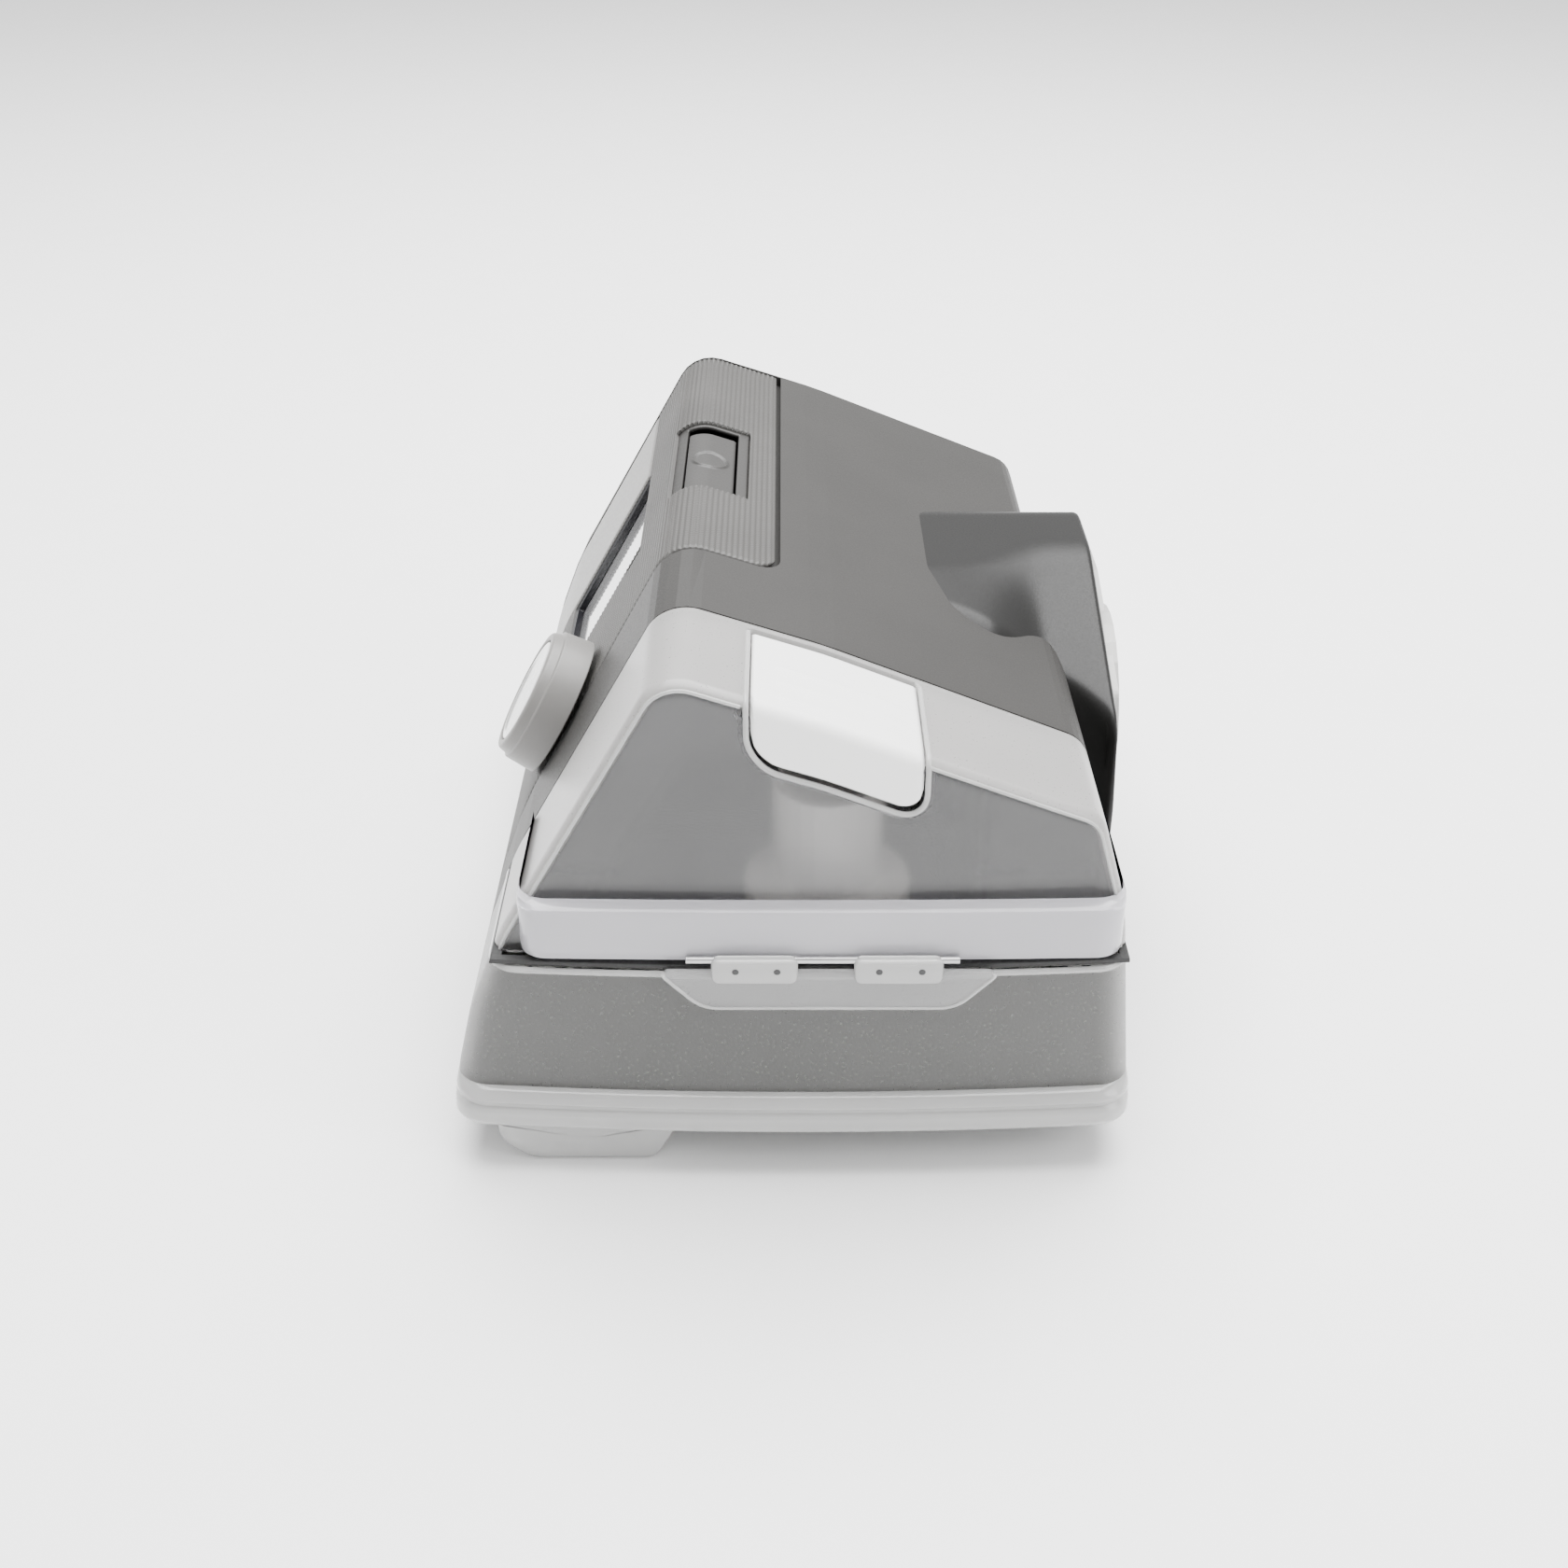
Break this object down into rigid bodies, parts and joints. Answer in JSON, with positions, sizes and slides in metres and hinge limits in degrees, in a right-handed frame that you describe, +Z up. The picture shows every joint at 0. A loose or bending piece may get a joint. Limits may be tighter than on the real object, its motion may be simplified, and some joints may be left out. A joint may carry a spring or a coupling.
{
  "type": "mechanical ventilator",
  "caption": "Bedside ventilator with a sloping ribbed front, press-and-turn dial, screen, rear hose outlet and a clear heated water tub that slides out of one end.",
  "frame": {"origin": "middle of the bounding box, on the surface that the feet stand on", "axes": "+Z up, +X towards the water tub's end, -Y towards the front face with the screen and dial"},
  "size_m": [0.2046, 0.1494, 0.1161],
  "materials": {
    "dark_housing": "fine matt spark-eroded",
    "ribbed_grey": "fine moulded ribs",
    "light_grey": "satin",
    "clear": "clear moulded polycarbonate",
    "smoke": "frosted clear polycarbonate",
    "white_soft": "soft-touch white",
    "rubber": "matt",
    "screen": "gloss black glass",
    "board": "solder mask",
    "steel": "brushed",
    "copper": "bare",
    "foam": "open-cell foam",
    "filter_white": "non-woven",
    "black_plastic": "matt",
    "impeller_white": "smooth"
  },
  "bodies": {
    "device": {"base_cover": "dark_housing", "bearing_lower": "steel", "bearing_upper": "steel", "blower_duct": "rubber", "blower_mount_1": "rubber", "blower_mount_2": "rubber", "blower_mount_3": "rubber", "control_board": "board", "dock_liner": "black_plastic", "encoder_body": "steel", "foot_1": "rubber", "foot_2": "rubber", "foot_3": "rubber", "foot_4": "rubber", "front_fascia": "ribbed_grey", "heater_foil": "copper", "heater_plate": "steel", "inlet_filter": "filter_white", "lcd_module": "black_plastic", "light_sensor": "screen", "main_housing": "dark_housing", "motor_housing": "steel", "motor_stator": "copper", "muffler_foam": "foam", "outlet_duct": "rubber", "outlet_housing": "dark_housing", "outlet_plenum": "black_plastic", "port_seal": "rubber", "power_board": "board", "power_jack": "black_plastic", "screen_lens": "screen", "screw_1": "steel", "screw_2": "steel", "screw_3": "steel", "screw_4": "steel", "sd_socket": "steel", "side_panel": "light_grey", "volute_lower": "black_plastic", "volute_upper": "black_plastic"},
    "start_stop_button": {"start_stop_button": "dark_housing"},
    "home_button": {"home_button": "light_grey"},
    "dial_shaft": {"dial_shaft": "steel"},
    "dial": {"dial_knob": "light_grey", "dial_cap": "steel"},
    "rotor": {"rotor_shaft": "steel", "rotor_magnet": "steel", "impeller": "impeller_white"},
    "filter_cover": {"filter_cover": "dark_housing"},
    "sd_door": {"sd_door": "dark_housing"},
    "sd_card": {"sd_card": "black_plastic"},
    "retention_clip": {"retention_clip": "dark_housing"},
    "adapter_cover": {"adapter_cover": "dark_housing"},
    "outlet_connector": {"outlet_connector": "light_grey"},
    "tub": {"tub_base": "smoke", "tub_heat_plate": "steel", "tub_seal": "clear", "tub_lid": "clear", "lid_hinge_pin": "steel", "tub_baffle": "white_soft"},
    "tub_grip": {"tub_grip": "white_soft"}
  },
  "joints": [
    {"name": "start_stop_press", "type": "slide", "parent": "device", "child": "start_stop_button", "axis": [0, 0, -1], "range_m": [0, 0.001], "stiffness_N_per_m": 400},
    {"name": "home_press", "type": "slide", "parent": "device", "child": "home_button", "axis": [0, 0.8704, -0.4923], "range_m": [0, 0.0008], "stiffness_N_per_m": 400},
    {"name": "dial_press", "type": "slide", "parent": "device", "child": "dial_shaft", "axis": [0, 0.8704, -0.4923], "range_m": [0, 0.0008], "stiffness_N_per_m": 800},
    {"name": "dial_turn", "type": "hinge", "parent": "dial_shaft", "child": "dial", "pos_m": [0.0244, -0.05323, 0.0725], "axis": [0, -0.8704, 0.4923], "continuous": true},
    {"name": "impeller_spin", "type": "hinge", "parent": "device", "child": "rotor", "pos_m": [-0.061, 0.008, 0.066], "axis": [0, 0, 1], "continuous": true},
    {"name": "filter_cover_hinge", "type": "hinge", "parent": "device", "child": "filter_cover", "pos_m": [-0.10081, 0.03, 0.0284], "axis": [0, -1, 0], "range_deg": [0, 85]},
    {"name": "sd_door_hinge", "type": "hinge", "parent": "device", "child": "sd_door", "pos_m": [-0.10083, -0.036, 0.0279], "axis": [0, -1, 0], "range_deg": [0, 90]},
    {"name": "sd_card_press", "type": "slide", "parent": "device", "child": "sd_card", "axis": [1, 0, 0], "range_m": [0, 0.0012], "stiffness_N_per_m": 300},
    {"name": "retention_clip_hinge", "type": "hinge", "parent": "device", "child": "retention_clip", "pos_m": [-0.082, 0.06776, 0.0466], "axis": [1, 0, 0], "range_deg": [0, 80]},
    {"name": "adapter_cover_hinge", "type": "hinge", "parent": "device", "child": "adapter_cover", "pos_m": [-0.058, 0.0704, 0.0204], "axis": [-1, 0, 0], "range_deg": [0, 90]},
    {"name": "outlet_connector_pull", "type": "slide", "parent": "device", "child": "outlet_connector", "axis": [0, 1, 0], "range_m": [0, 0.025]},
    {"name": "tub_slide", "type": "slide", "parent": "device", "child": "tub", "axis": [1, 0, 0], "range_m": [0, 0.125]},
    {"name": "tub_grip_press", "type": "slide", "parent": "tub", "child": "tub_grip", "axis": [0, 0, -1], "range_m": [0, 0.0008], "stiffness_N_per_m": 1500}
  ]
}
